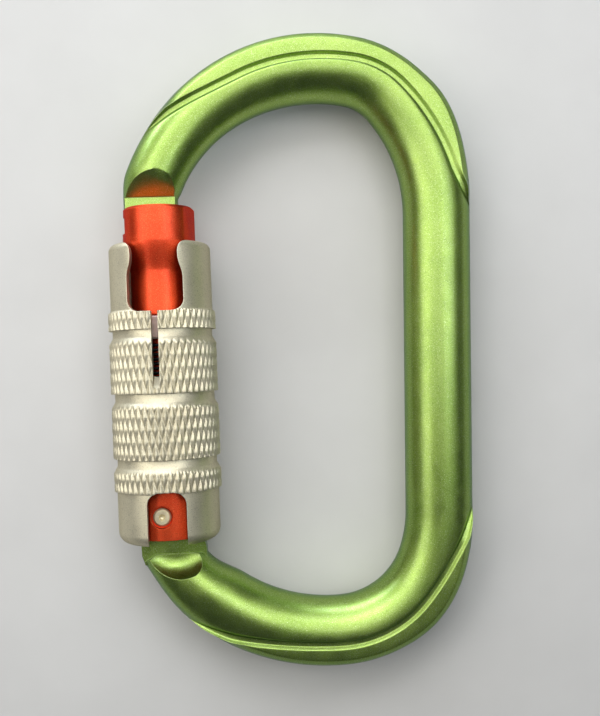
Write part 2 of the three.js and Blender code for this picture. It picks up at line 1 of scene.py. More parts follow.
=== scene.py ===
# The looks of the locking carabiner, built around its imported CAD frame.
import json
import math

import bmesh
import bpy
from mathutils import Matrix, Vector

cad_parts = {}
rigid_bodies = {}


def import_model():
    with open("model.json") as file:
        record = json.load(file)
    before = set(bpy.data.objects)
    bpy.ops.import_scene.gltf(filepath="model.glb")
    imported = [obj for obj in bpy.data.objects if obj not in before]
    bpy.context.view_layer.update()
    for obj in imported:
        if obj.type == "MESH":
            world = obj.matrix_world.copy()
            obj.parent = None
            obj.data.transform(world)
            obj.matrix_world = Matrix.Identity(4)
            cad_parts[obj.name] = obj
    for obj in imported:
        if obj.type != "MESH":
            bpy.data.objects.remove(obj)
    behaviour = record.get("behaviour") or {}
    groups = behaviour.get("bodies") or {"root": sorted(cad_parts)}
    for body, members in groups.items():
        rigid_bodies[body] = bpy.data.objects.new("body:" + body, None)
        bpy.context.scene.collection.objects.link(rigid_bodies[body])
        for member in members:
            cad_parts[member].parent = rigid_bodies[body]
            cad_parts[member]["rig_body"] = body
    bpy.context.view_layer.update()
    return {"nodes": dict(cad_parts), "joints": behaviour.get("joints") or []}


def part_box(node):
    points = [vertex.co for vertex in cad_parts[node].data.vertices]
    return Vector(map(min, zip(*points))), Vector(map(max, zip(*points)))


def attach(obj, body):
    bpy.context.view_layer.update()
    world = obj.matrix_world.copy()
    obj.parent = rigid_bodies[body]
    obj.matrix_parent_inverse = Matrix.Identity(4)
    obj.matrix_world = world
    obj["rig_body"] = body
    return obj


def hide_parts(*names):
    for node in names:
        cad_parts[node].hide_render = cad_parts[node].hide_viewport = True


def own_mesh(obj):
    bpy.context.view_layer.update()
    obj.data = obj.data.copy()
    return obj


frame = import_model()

MM = 0.001
GAP = 0.3  # mm between neighbouring pieces

# ---------- working axes ----------
# Shapes are built in millimetres: x from the gate's axis towards the spine, y along the gate from beside
# the hinge to the nose, z out of the frame's plane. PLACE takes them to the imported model's metres.

JOINTS = {joint["name"]: joint for joint in frame["joints"]}
AXIS_POINT = Vector(JOINTS["sleeve_turn"]["pos_m"])
ALONG = Vector(JOINTS["sleeve_turn"]["axis"])
NORMAL = -Vector(JOINTS["gate_swing"]["axis"])
ACROSS = ALONG.cross(NORMAL)
AXES = Matrix((ACROSS, ALONG, NORMAL)).transposed().to_4x4()
PLACE = Matrix.Translation(AXIS_POINT) @ AXES @ Matrix.Scale(MM, 4)


def span(node):
    """Where a CAD node starts and ends along the gate, in millimetres."""
    low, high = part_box(node)
    return (low.y - AXIS_POINT.y) / MM, (high.y - AXIS_POINT.y) / MM


# ---------- sizes, in millimetres ----------

# Frame
ROD_RADIUS = 5.96  # a little under the CAD's, whose flats this smoother rod would stand out of
SPINE_LEAN = math.radians(1.66)
SPINE_X = 48.65
SPINE_X_AT = 20
SPINE_TOP = 50.91
SPINE_BOTTOM = -2.31
TOP_ARCS = [(31.56, 41.4), (12.96, 38.1), (31.3, 80.2)]  # radius, degrees
BOTTOM_ARCS = [(27.25, 18.2), (18.09, 67.4), (33.88, 61.9)]
NOSE_ARC = [(8.3, 22)]
TOP_TAPER_FROM = 0.52
BOTTOM_TAPER_FROM = 0.83
NECK_ROD_RADIUS = 5.12
NOSE_RADIUS = 4.76
HEEL_RADIUS = 5
INNER_TAPER = {"from": 0.78, "to": 0.9, "radius": 4.8}  # of the bottom bow's inner half
STATION_STEP = 0.7

# Pressed land on the outer half of each bow. Places along a bow run from 0 at the spine to 1.
# The groove's inner edge lies 'groove' outside the rod's centre, and runs out to the rod's side over
# 'rise' and 'fall' at the two ends. A share 'drift' of the first run-out is slower, over DRIFT_OVER.
LAND_HEIGHT = 5
LAND_UNDER_CROWN = 0.94
LAND_GROWS_OVER = 0.05
LAND_LEAST_WIDTH = 0.35
LAND_SHELF_FROM = 1.85  # inside the land's outer edge, where its flat face ends
LAND_WALL_FROM = 0.85  # inside the outer edge, where its slope turns into the wall
LAND_SIDE_TOP = 1.7  # above the middle plane, where its upright side rounds over into the wall
DRIFT_OVER = 0.6
GROOVE_WIDTH = 1.8
GROOVE_DEPTH = 0.45
GROOVE_MOST = 0.6  # of the pressed width
GROOVE_WALL = 0.28  # share of the groove's width that each of its walls takes
ROD_OVERLAP = 0.5  # how far the pressed outline goes on along the round rod
BULGE_BEFORE = 0.12
BULGE_AFTER = 0.085
TOP_LAND = {"groove": -0.1, "from": 0.0, "rise": 0.1, "drift": 0.5, "to": 0.93, "fall": 0.24,
            "bulge": 1.35, "peak": 0.228}
BOTTOM_LAND = {"groove": 0.45, "from": -0.03, "rise": 0.26, "drift": 0.0, "to": 0.85, "fall": 0.36,
               "bulge": 0.5, "peak": 0.25}

# Nose and hinge tongue
NOSE_STEP_Y = 54.8
NOSE_FACET_Y = 59.6
NOSE_NECK_HALF = 2.0
NOSE_STEP_HALF = 2.3
NOSE_KEY_TOP = 50.7
NOSE_END_Y = 48.9
NOSE_KEY_HALF = 2.5
HEEL_STEP_Y = -7.38
HEEL_DISH = {"x": 1, "across": 6.4, "along": 3.95, "floor": 2.45, "rise": 2.9}
FACET_CROWN = 5.5
TONGUE_HALF = 2.2
TONGUE_TOP = 4.9
TONGUE_RADIUS = 6.8
TONGUE_TOP_HALF = 3.8
TONGUE_ARC = (-32.8, 36)  # degrees about the pin
TONGUE_LEFT_SIDE = [(-5.23, 3.2), (-4.85, -7.6)]
TONGUE_ROOT_LEFT = -4.3
TONGUE_ROOT_RIGHT = 6.4
TONGUE_ROOT_Y = -9.2

# Hinge
PIN_X = -0.83
PIN_Y = -0.4
RIVET_RADIUS = 1.2
RIVET_HEAD_RADIUS = 1.55
RIVET_HEAD_HEIGHT = 0.6
RIVET_HEAD_FACE = 6.1
RIVET_CHAMFER = 0.3
RIVET_DIMPLE = 0.55
RIVET_DIMPLE_RIM = 0.1
RIVET_DIMPLE_DEPTH = 0.45
RIVET_RECESS_RADIUS = 1.95

# Gate
GATE_BOTTOM, HEAD_TOP = span("gate_body")
HEAD_RADIUS = 6.3
HEAD_BOTTOM = 47
HEAD_FACET_X = 4.6
HEAD_SLOT_END = 4
SLOT_ROOF_GAP = 0.4
SLOT_FLOOR_GAP = 0.5
GATE_CHAMFER = 0.45
WAIST_RADIUS = 5.2  # between the sleeve's prongs
WAIST_TOP = 41.6
NECK_EASE = 0.15  # share of the neck's length over which each end curves
STEM_RADIUS = 4.4  # inside the sleeve's spring
BLOCK_RADIUS = 6.5
BLOCK_TOP = 7
GATE_HEEL_RADIUS = 7
FORK_HALF = 2.5
FORK_TOP = 7
SPRING_BORE = 2.1
SPRING_BORE_TOP = 24

# Sleeve
SLEEVE_BOTTOM, SLEEVE_TOP = span("locking_sleeve")
SLEEVE_RADIUS = 8.85
BAND_RADIUS = AXIS_POINT.z / MM  # the bands rest on the ground
NECK_RADIUS = 8.65
SLEEVE_BORE = 6.8
BANDS = [(3.85, 6.95), (9.5, 18.1), (20.7, 29.15), (31.6, 34.6)]  # square below, bevelled above
BAND_BEVEL = 1.2
TOP_BAND_BEVEL = 0.4
BEVEL_STEPS = 5
SKIRT_ROUNDING = 2
LIP_ROUNDING = 1.2
SHOULDER = (7.4, 9.4)
SHOULDER_BORE = 4.75
WINDOW_BOTTOM = 34.6
WINDOW_HALF = 4.75
WINDOW_NECK = 4.0
WINDOW_CORNER = 2
WINDOW_SHOULDER = 39.8
WINDOW_THROAT = 44.3
WINDOW_FLARE = 1.9
WINDOW_TIP = 0.8
WINDOW_TIP_DROP = 0.6
WINDOW_TURN = -3.4  # degrees about the gate's axis
ARCH_HALF = 3.3
ARCH_TOP = 4.1
ARCH_CORNER = 2.2
ARCH_TURN = 1.5
SLIT_X = -0.65
SLIT_HALF = 0.58
SLIT_BOTTOM = 21.6
SLIT_SLOPE = 2.2
SLEEVE_LIFT = 4
SLEEVE_TURN = 90

# Knurl: tall diamonds, a whole number of them around the sleeve
KNURL_COUNT = 48
KNURL_HEIGHT = 4.2
KNURL_DEPTH = 0.36
KNURL_FLAT = 1.5  # how much steeper than a full pyramid the flanks are, which leaves a flat on top
KNURL_STEPS = 10

# Small pieces
RING_INNER = STEM_RADIUS + GAP
RING_OUTER = 6.35
PLUNGER_RADIUS = 1.8
GATE_SPRING = {"radius": 1.35, "wire": 0.25, "turns": 11}
SLEEVE_SPRING = {"radius": 5.5, "wire": 0.25, "turns": 21}
GUIDE_RADIUS = 1
GUIDE_Y = 5.3
GUIDE_AZIMUTH = 225
GUIDE_REACH = (4.9, 7.5)
POCKET_RADIUS = 7.9
POCKET_MARGIN = 10  # degrees

ROUND = 2 * math.pi
FAR = 12  # past the outside of anything that is cut


# ---------- mesh building ----------

def lerp(a, b, share):
    return a + (b - a) * share


def smooth(share):
    share = max(0.0, min(1.0, share))
    return share * share * (3 - 2 * share)


def solid(vertices, faces):
    """A temporary object with that closed surface, its faces looking out."""
    mesh = bpy.data.meshes.new("solid")
    mesh.from_pydata([tuple(v) for v in vertices], [], faces)
    bm = bmesh.new()
    bm.from_mesh(mesh)
    bmesh.ops.recalc_face_normals(bm, faces=bm.faces)
    bm.to_mesh(mesh)
    bm.free()
    obj = bpy.data.objects.new("solid", mesh)
    bpy.context.scene.collection.objects.link(obj)
    return obj


def grid_faces(rows, closed):
    """Faces between rows of vertex indices. Each row is a ring. A row that repeats one index is a pole."""
    faces = []
    following = rows[1:] + rows[:1] if closed else rows[1:]
    for lower, upper in zip(rows, following):
        for k in range(len(lower)):
            nxt = (k + 1) % len(lower)
            corners = list(dict.fromkeys([lower[k], lower[nxt], upper[nxt], upper[k]]))
            if len(corners) > 2:
                faces.append(corners)
    return faces


def turned(profile, segments=96, closed=False, radius_at=None):
    """A body of revolution about the y axis. The profile holds (radius, y) pairs.

    radius_at(angle, radius, y) may change the radius from place to place."""
    vertices, rows = [], []
    for radius, y in profile:
        start = len(vertices)
        if radius == 0:
            vertices.append((0, y, 0))
            rows.append([start] * segments)
            continue
        for k in range(segments):
            angle = ROUND * k / segments
            r = radius_at(angle, radius, y) if radius_at else radius
            vertices.append((r * math.sin(angle), y, r * math.cos(angle)))
        rows.append(list(range(start, start + segments)))
    return solid(vertices, grid_faces(rows, closed))


def prism(outline, start, end, axes="xyz"):
    """An outline drawn on the first two axes, pushed along the third from start to end."""
    order = [axes.index(letter) for letter in "xyz"]
    corners = [(u, v, w) for w in (start, end) for u, v in outline]
    vertices = [[corner[i] for i in order] for corner in corners]
    n = len(outline)
    sides = [[k, (k + 1) % n, n + (k + 1) % n, n + k] for k in range(n)]
    return solid(vertices, [list(range(n)), list(range(n, 2 * n))] + sides)


def loft(sections):
    """A closed tube through rings of points, with flat ends."""
    count = len(sections[0])
    vertices = [point for section in sections for point in section]
    rows = [list(range(s * count, (s + 1) * count)) for s in range(len(sections))]
    return solid(vertices, grid_faces(rows, False) + [rows[0], rows[-1]])


def cross_pin(radius, start, end, segments=64):
    """A cylinder along z about the hinge's axis."""
    outline = [(PIN_X + radius * math.cos(a), PIN_Y + radius * math.sin(a))
               for a in angles(0, 360, segments)[:-1]]
    return prism(outline, start, end)


def angles(start, end, steps):
    """steps + 1 angles in radians, from start to end in degrees."""
    return [math.radians(lerp(start, end, i / steps)) for i in range(steps + 1)]


def arc(centre, radius, start, end, steps):
    """Points on an arc between two angles in degrees."""
    x, y = centre
    return [(x + radius * math.cos(a), y + radius * math.sin(a)) for a in angles(start, end, steps)]


def bezier(a, b, c, d, steps):
    """Points on a cubic curve, the first one left out."""
    points = []
    for i in range(1, steps + 1):
        t = i / steps
        weights = ((1 - t) ** 3, 3 * t * (1 - t) ** 2, 3 * t * t * (1 - t), t ** 3)
        points.append(tuple(sum(w * p[k] for w, p in zip(weights, (a, b, c, d))) for k in range(2)))
    return points


def mirrored(outline):
    """The outline with its other half, mirrored in the second axis."""
    return outline + [(-u, v) for u, v in reversed(outline)]


def bake(obj):
    """Applies the object's modifiers."""
    graph = bpy.context.evaluated_depsgraph_get()
    obj.data = bpy.data.meshes.new_from_object(obj.evaluated_get(graph))
    obj.modifiers.clear()


def combine(body, operation, others):
    for other in others:
        modifier = body.modifiers.new("combine", "BOOLEAN")
        modifier.operation = operation
        modifier.solver = "MANIFOLD"
        modifier.object = other
    bake(body)
    for other in others:
        bpy.data.objects.remove(other)
    return body


def cut(body, *cutters):
    return combine(body, "DIFFERENCE", cutters)


def join(body, *others):
    return combine(body, "UNION", others)


def move(obj, matrix):
    obj.data.transform(matrix)
    return obj


def finish_piece(obj, node, slot, *materials, sharp=35):
    """Puts a shape in its place, names it after the CAD node that it stands for, and dresses it."""
    move(obj, PLACE)
    obj.name = f"{node}_fine"
    obj.data.name = obj.name
    obj.data.shade_smooth()
    obj.data.set_sharp_from_angle(angle=math.radians(sharp))
    obj.data.materials.clear()
    for material in materials:
        obj.data.materials.append(material)
    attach(obj, frame["nodes"][node]["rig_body"])
    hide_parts(node)
    return obj


# ---------- materials ----------

class Look:
    """A material whose nodes are made in code. Texture sizes are in millimetres on the object."""

    def __init__(self, name, **constants):
        self.material = bpy.data.materials.new(name)
        self.material.use_nodes = True
        self.tree = self.material.node_tree
        self.shader = self.tree.nodes["Principled BSDF"]
        for socket, value in constants.items():
            self.shader.inputs[socket.replace("_", " ")].default_value = value
        self.place = self.tree.nodes.new("ShaderNodeTexCoord").outputs["Object"]

    def node(self, kind, inputs=None, **settings):
        made = self.tree.nodes.new(kind)
        for name, value in settings.items():
            setattr(made, name, value)
        for name, value in (inputs or {}).items():
            if isinstance(value, bpy.types.NodeSocket):
                self.tree.links.new(value, made.inputs[name])
            else:
                made.inputs[name].default_value = value
        return made

    def noise(self, size, detail=2.0, roughness=0.5, stretch=(1, 1, 1)):
        """Noise from 0 to 1 with blobs of that size."""
        place = self.node("ShaderNodeMapping", {"Vector": self.place, "Scale": stretch}).outputs[0]
        inputs = {"Vector": place, "Scale": 1 / (size * MM), "Detail": detail, "Roughness": roughness}
        return self.node("ShaderNodeTexNoise", inputs).outputs["Fac"]

    def ramp(self, value, *stops):
        """Turns a number into a colour through (place, colour) stops."""
        made = self.node("ShaderNodeValToRGB", {"Fac": value})
        elements = made.color_ramp.elements
        while len(elements) < len(stops):
            elements.new(0.5)
        for element, (place, colour) in zip(elements, stops):
            element.position = place
            element.color = (*colour, 1)
        return made.outputs["Color"]

    def level(self, value, low, high, start=0.0, end=1.0):
        """Maps start..end of a number to low..high."""
        inputs = {"Value": value, "From Min": start, "From Max": end, "To Min": low, "To Max": high}
        return self.node("ShaderNodeMapRange", inputs).outputs["Result"]

    def mix(self, factor, a, b, blend="MIX"):
        made = self.node("ShaderNodeMix", data_type="RGBA", blend_type=blend)
        for index, value in ((0, factor), (6, a), (7, b)):
            if isinstance(value, bpy.types.NodeSocket):
                self.tree.links.new(value, made.inputs[index])
            else:
                made.inputs[index].default_value = value if index == 0 else (*value, 1)
        return made.outputs[2]

    def rounded(self, radius):
        """The surface's normal with its edges rounded off, and how near an edge is, from 0 to 1."""
        normal = self.node("ShaderNodeBevel", {"Radius": radius * MM}, samples=6).outputs[0]
        true = self.node("ShaderNodeNewGeometry").outputs["Normal"]
        dot = self.node("ShaderNodeVectorMath", operation="DOT_PRODUCT")
        self.tree.links.new(normal, dot.inputs[0])
        self.tree.links.new(true, dot.inputs[1])
        return normal, self.level(dot.outputs["Value"], 1, 0, 0.75, 0.995)

    def bump(self, height, depth, normal=None, strength=1.0):
        inputs = {"Height": height, "Distance": depth * MM, "Strength": strength}
        if normal is not None:
            inputs["Normal"] = normal
        return self.node("ShaderNodeBump", inputs).outputs["Normal"]

    def feed(self, **sockets):
        for name, value in sockets.items():
            self.tree.links.new(value, self.shader.inputs[name.replace("_", " ")])
        return self.material


def anodised(name, tones, glint, rough, grain, edge, **constants):
    """Dyed and blasted aluminium: cloudy colour, fine sparkling grain, paler edges that are partly rubbed
    anodising and partly a painted highlight.
    """
    look = Look(name, **constants)
    cloud_size, scuff_size, haze_size = 9, 0.6, 2.5
    pit_colour = tuple(channel * 0.3 for channel in tones[0])
    clouds = look.ramp(look.noise(cloud_size, 3), (0.3, tones[0]), (0.7, tones[1]))
    speckle = look.noise(grain, 1)
    flecks = look.level(speckle, 0, 1, 0.56, 0.8)
    colour = look.mix(flecks, clouds, glint)
    pits = look.level(look.noise(grain * 1.7, 1), 0.35, 0, 0.3, 0.42)
    colour = look.mix(pits, colour, pit_colour)
    normal, near = look.rounded(edge)
    scuffs = look.level(look.noise(scuff_size, 3), 0.25, 1, 0.35, 0.65)
    # paler edges: partly rubbed anodising, partly a painted highlight where the edges catch the light
    wear_and_edge_highlight = look.node("ShaderNodeMath", {0: near, 1: scuffs}, operation="MULTIPLY").outputs[0]
    colour = look.mix(wear_and_edge_highlight, colour, glint)
    roughness = look.level(look.noise(haze_size, 4), rough - 0.05, rough + 0.06, 0.3, 0.7)
    relief = look.bump(speckle, grain * 0.16, normal)
    return look.feed(Base_Color=colour, Roughness=roughness, Normal=relief)


def drawn_metal(name, tone, dark, rough, stretch, edge, metallic=1.0):
    """Bare or blackened metal with drawing lines, a little soil and a painted highlight along its edges."""
    look = Look(name, Metallic=metallic)
    line_size, soil_size = 0.35, 1.6
    lines = look.noise(line_size, 3, 0.6, stretch)
    soil = look.noise(soil_size, 3)
    colour = look.ramp(soil, (0.35, dark), (0.62, tone))
    roughness = look.level(lines, rough - 0.08, rough + 0.14, 0.3, 0.7)
    normal, near = look.rounded(edge)
    # paler towards the edges: a painted highlight
    colour = look.mix(look.level(near, 0, 0.5), colour, tuple(min(1, c * 1.4) for c in tone))
    return look.feed(Base_Color=colour, Roughness=roughness, Normal=look.bump(lines, 0.02, normal))


def moulded(name, tone, shade):
    """Moulded plastic with a soft mottle and a fine texture."""
    look = Look(name, Subsurface_Weight=0.08)
    look.shader.inputs["Subsurface Scale"].default_value = 0.5 * MM
    colour = look.ramp(look.noise(1.2, 3), (0.35, shade), (0.65, tone))
    grain = look.noise(0.18, 2)
    roughness = look.level(grain, 0.45, 0.62, 0.3, 0.7)
    return look.feed(Base_Color=colour, Roughness=roughness, Normal=look.bump(grain, 0.02))


GREEN = anodised("green_anodising", [(0.235, 0.365, 0.06), (0.30, 0.43, 0.085)], (0.58, 0.72, 0.36),
                 0.34, 0.12, 0.14, Metallic=1.0, Specular_Tint=(0.02, 0.16, 0.08, 1),
                 Coat_Weight=0.6, Coat_Roughness=0.22)
RED = anodised("red_anodising", [(0.66, 0.05, 0.016), (0.82, 0.085, 0.024)], (1.0, 0.24, 0.09),
               0.4, 0.1, 0.12, Metallic=1.0, Specular_Tint=(0.16, 0.01, 0.01, 1),
               Coat_Weight=0.2, Coat_Roughness=0.25)
CHAMPAGNE = anodised("champagne_anodising", [(0.60, 0.55, 0.41), (0.68, 0.63, 0.47)], (0.82, 0.78, 0.64),
                     0.45, 0.12, 0.16, Metallic=0.85, Specular_Tint=(0.35, 0.33, 0.28, 1))
KNURL = anodised("champagne_knurl", [(0.66, 0.59, 0.35), (0.74, 0.67, 0.41)], (0.90, 0.85, 0.66),
                 0.4, 0.12, 0.1, Metallic=0.75, Specular_Tint=(0.3, 0.27, 0.2, 1))
BARE = drawn_metal("bare_cut", (0.92, 0.88, 0.96), (0.78, 0.74, 0.80), 0.5, (1, 1, 6), 0.05, metallic=0.2)
STEEL = drawn_metal("pale_steel", (0.80, 0.72, 0.50), (0.62, 0.54, 0.34), 0.42, (1, 1, 1), 0.1, metallic=0.8)
SPRING_STEEL = drawn_metal("spring_steel", (0.62, 0.60, 0.57), (0.36, 0.34, 0.32), 0.3, (1, 5, 1), 0.02)
BLACK = drawn_metal("black_wire", (0.05, 0.05, 0.055), (0.018, 0.018, 0.02), 0.34, (1, 5, 1), 0.02)
ACETAL = moulded("acetal", (0.66, 0.50, 0.46), (0.52, 0.38, 0.35))


# ---------- frame ----------

def spine_x(y):
    return SPINE_X + math.tan(SPINE_LEAN) * (y - SPINE_X_AT)


def walk(start, heading, turn, arcs):
    """Stations (x, y, heading, share) along tangent arcs. turn is 1 for left and -1 for right."""
    total = sum(radius * math.radians(degrees) for radius, degrees in arcs)
    x, y = start
    travelled = 0
    stations = [(x, y, heading, 0)]
    for radius, degrees in arcs:
        sweep = math.radians(degrees)
        steps = math.ceil(radius * sweep / STATION_STEP)
        chord = 2 * radius * math.sin(sweep / steps / 2)
        for _ in range(steps):
            half = turn * sweep / steps / 2
            x += chord * math.cos(heading + half)
            y += chord * math.sin(heading + half)
            heading += 2 * half
            travelled += radius * sweep / steps
            stations.append((x, y, heading, travelled / total))
    return stations


def straight(start, end):
    """Stations between two of them on a straight run, neither included."""
    steps = round(math.dist(start[:2], end[:2]) / STATION_STEP)
    return [(lerp(start[0], end[0], i / steps), lerp(start[1], end[1], i / steps), start[2], 0)
            for i in range(1, steps)]


def run_out(distance, over):
    """1 at no distance, falling smoothly to 0 over that length."""
    return max(0, 1 - distance / over) ** 2


def land_at(share, radius, land):
    """The groove's place, the land's bulge past the rod, and how far the land has grown."""
    at_start = lerp(run_out(share - land["from"], land["rise"]), run_out(share, DRIFT_OVER), land["drift"])
    pull = min(1, at_start + run_out(land["to"] - share, land["fall"]))
    offset = min(radius - LAND_LEAST_WIDTH, lerp(land["groove"], radius, pull))
    spread = BULGE_BEFORE if share < land["peak"] else BULGE_AFTER
    bulge = land["bulge"] * math.exp(-((share - land["peak"]) / spread) ** 2)
    grown = smooth((share - land["from"]) / LAND_GROWS_OVER) * smooth((land["to"] - share) / LAND_GROWS_OVER)
    return offset, bulge, grown


def rounded_corners(corners, steps=3):
    """A polyline through (p, z, size) corners, each rounded off over its size."""
    points = [corners[0][:2]]
    for before, here, after in zip(corners, corners[1:], corners[2:]):
        a, b, c = (Vector(corner[:2]) for corner in (before, here, after))
        reach_a = min(here[2], 0.45 * (a - b).length)
        reach_c = min(here[2], 0.45 * (c - b).length)
        start = b + (a - b).normalized() * reach_a
        end = b + (c - b).normalized() * reach_c
        for i in range(steps + 1):
            t = i / steps
            points.append(tuple(start.lerp(b, t).lerp(b.lerp(end, t), t)))
    points.append(corners[-1][:2])
    return points


def land_profile(radius, offset, bulge):
    """The pressed half of the front, from the outer edge to where the round rod goes on."""
    crown = math.sqrt(radius ** 2 - offset ** 2)
    height = min(LAND_HEIGHT, crown * LAND_UNDER_CROWN)
    share = height / LAND_HEIGHT
    edge = radius + bulge
    width = min(GROOVE_WIDTH, GROOVE_MOST * (edge - offset))
    inner = offset + width
    shelf = max(inner, edge - LAND_SHELF_FROM)
    wall = max(shelf, edge - LAND_WALL_FROM)
    floor = height - GROOVE_DEPTH * width / GROOVE_WIDTH
    on_rod = offset - ROD_OVERLAP
    corners = [
        (edge, 0, 0),
        (edge, LAND_SIDE_TOP * share, LAND_SIDE_TOP),
        (wall, height - share, 0.5),
        (shelf, height, 0.12),
        (lerp(shelf, inner, 0.5), height, 0),
        (inner, height, 0.1),
        (offset + (1 - GROOVE_WALL) * width, floor, 0.12),
        (offset + GROOVE_WALL * width, floor, 0.12),
        (offset, crown, 0.3),
        (on_rod, math.sqrt(radius ** 2 - on_rod ** 2), 0),
    ]
    return rounded_corners(corners)


def section_at(radius, land):
    """A ring of (outward, z) pairs, from the outer edge over the front to the inner edge and back."""
    offset, bulge, grown = land
    front = []
    for p, z in land_profile(radius, offset, bulge):
        angle = math.atan2(z, p)
        front.append((lerp(radius * math.cos(angle), p, grown), lerp(radius * math.sin(angle), z, grown)))
    last = math.atan2(front[-1][1], front[-1][0])
    steps = 22
    for i in range(1, steps + 1):
        angle = lerp(last, math.pi, i / steps)
        front.append((radius * math.cos(angle), 0 if i == steps else radius * math.sin(angle)))
    return front + [(p, -z) for p, z in reversed(front[1:-1])]


def round_section(radius):
    return section_at(radius, (radius - LAND_LEAST_WIDTH, 0, 0))


def bow_sections(stations, taper_from, end_radius, land, slim=False):
    """One bow's rings: its pressed land, its taper and, where slim, its thinner inner half."""
    rings = []
    for x, y, heading, share in stations:
        radius = lerp(ROD_RADIUS, end_radius, smooth((share - taper_from) / (1 - taper_from)))
        section = section_at(radius, land_at(share, radius, land))
        rings.append(ring_at(x, y, heading, slimmed_inside(section, share) if slim else section))
    return rings


def slimmed_inside(section, share):
    """A section of the bottom bow with its inner half taken in, which clears the sleeve's skirt."""
    start, end = INNER_TAPER["from"], INNER_TAPER["to"]
    inner = lerp(ROD_RADIUS, INNER_TAPER["radius"], smooth((share - start) / (end - start)))
    scale = min(1, inner / max(-p for p, z in section))
    return [(p * scale if p < 0 else p, z) for p, z in section]


def ring_at(x, y, heading, section):
    """The section's points, outward to the left of the heading."""
    return [(x - p * math.sin(heading), y + p * math.cos(heading), z) for p, z in section]


def back_to_front(stations):
    """The same stations walked the other way."""
    return [(x, y, heading + math.pi, share) for x, y, heading, share in reversed(stations)]


def rod():
    """The rod from the nose, over the top bow, down the spine and round the bottom bow to the heel."""
    top = walk((spine_x(SPINE_TOP), SPINE_TOP), math.pi / 2 - SPINE_LEAN, 1, TOP_ARCS)
    nose = walk(top[-1][:2], top[-1][2], 1, NOSE_ARC)[1:]
    nose_x = nose[-1][0]
    key = [(nose_x, NOSE_KEY_TOP, 1.5 * math.pi, 1), (nose_x, NOSE_END_Y, 1.5 * math.pi, 1)]
    bottom = walk((spine_x(SPINE_BOTTOM), SPINE_BOTTOM), -math.pi / 2 - SPINE_LEAN, -1, BOTTOM_ARCS)

    nose_rings = [
        ring_at(x, y, heading + math.pi, round_section(lerp(NECK_ROD_RADIUS, NOSE_RADIUS, smooth(share))))
        for x, y, heading, share in reversed(nose + key)
    ]
    top_rings = bow_sections(back_to_front(top), TOP_TAPER_FROM, NECK_ROD_RADIUS, TOP_LAND)
    spine = straight((*top[0][:2], -math.pi / 2 - SPINE_LEAN), (*bottom[0][:2], 0))
    spine_rings = [ring_at(x, y, heading, round_section(ROD_RADIUS)) for x, y, heading, _ in spine]
    bottom_rings = bow_sections(bottom, BOTTOM_TAPER_FROM, HEEL_RADIUS, BOTTOM_LAND, slim=True)
    return loft(nose_rings + top_rings + spine_rings + bottom_rings)


def both_faces(outline):
    """Two cutters across the whole rod: an outline in (y, z) and its mirror image in z."""
    return [prism([(y, side * z) for y, z in outline], -FAR, FAR, "yzx") for side in (1, -1)]


def nose_milling():
    """Flattens the nose's neck as far as its step, then leaves a facet that climbs to the crown."""
    return both_faces([
        (NOSE_KEY_TOP, NOSE_NECK_HALF), (NOSE_STEP_Y, NOSE_NECK_HALF), (NOSE_STEP_Y, NOSE_STEP_HALF),
        (NOSE_FACET_Y, FACET_CROWN), (NOSE_FACET_Y, FAR), (NOSE_KEY_TOP, FAR),
    ])


def key_milling():
    """Thins the end of the nose to its key."""
    half, under = NOSE_KEY_HALF, NOSE_END_Y - 1
    return both_faces([(NOSE_KEY_TOP, half), (NOSE_KEY_TOP, FAR), (under, FAR), (under, half)])


def heel_milling():
    """Thins the heel above its step to the tongue."""
    return both_faces([(0, TONGUE_HALF), (HEEL_STEP_Y, TONGUE_HALF), (HEEL_STEP_Y, FAR), (0, FAR)])


def heel_dishes():
    """A shallow dish in each face of the heel, level beside the step and steeper towards its rim."""
    steps, floor, rise = 20, HEEL_DISH["floor"], HEEL_DISH["rise"]
    profile = [(0, floor)] + [(i / steps, floor + rise * (i / steps) ** 3) for i in range(1, steps + 1)]
    profile += [(1, FAR), (0, FAR)]
    size = Matrix.Diagonal((HEEL_DISH["across"], HEEL_DISH["along"], 1, 1))
    place = Matrix.Translation((HEEL_DISH["x"], HEEL_STEP_Y, 0)) @ size
    return [move(turned(profile, 128), place @ Matrix.Rotation(side * math.pi / 2, 4, "X"))
            for side in (1, -1)]


def hinge_tongue():
    """The tongue inside the gate's fork: round about the pin towards the spine, flat on top."""
    left, right, root = TONGUE_ROOT_LEFT, TONGUE_ROOT_RIGHT, TONGUE_ROOT_Y
    curve = arc((PIN_X, PIN_Y), TONGUE_RADIUS, *TONGUE_ARC, 24)
    x, y = curve[0]
    outline = [(left, root), (right, root)]
    outline += bezier((right, root), (right, y - 2), (right, y - 1), (x, y), 6)
    outline += curve[1:]
    outline += [(PIN_X + TONGUE_TOP_HALF, TONGUE_TOP), (PIN_X - TONGUE_TOP_HALF, TONGUE_TOP)]
    outline += TONGUE_LEFT_SIDE
    return prism(outline, -TONGUE_HALF, TONGUE_HALF)


def build_frame():
    body = rod()
    cut(body, *nose_milling(), *key_milling(), *heel_milling())
    cut(body, *heel_dishes())
    join(body, hinge_tongue())
    cut(body, cross_pin(RIVET_RADIUS + GAP, -FAR, FAR))
    finish_piece(body, "frame", "frame_green", GREEN)


# ---------- gate ----------

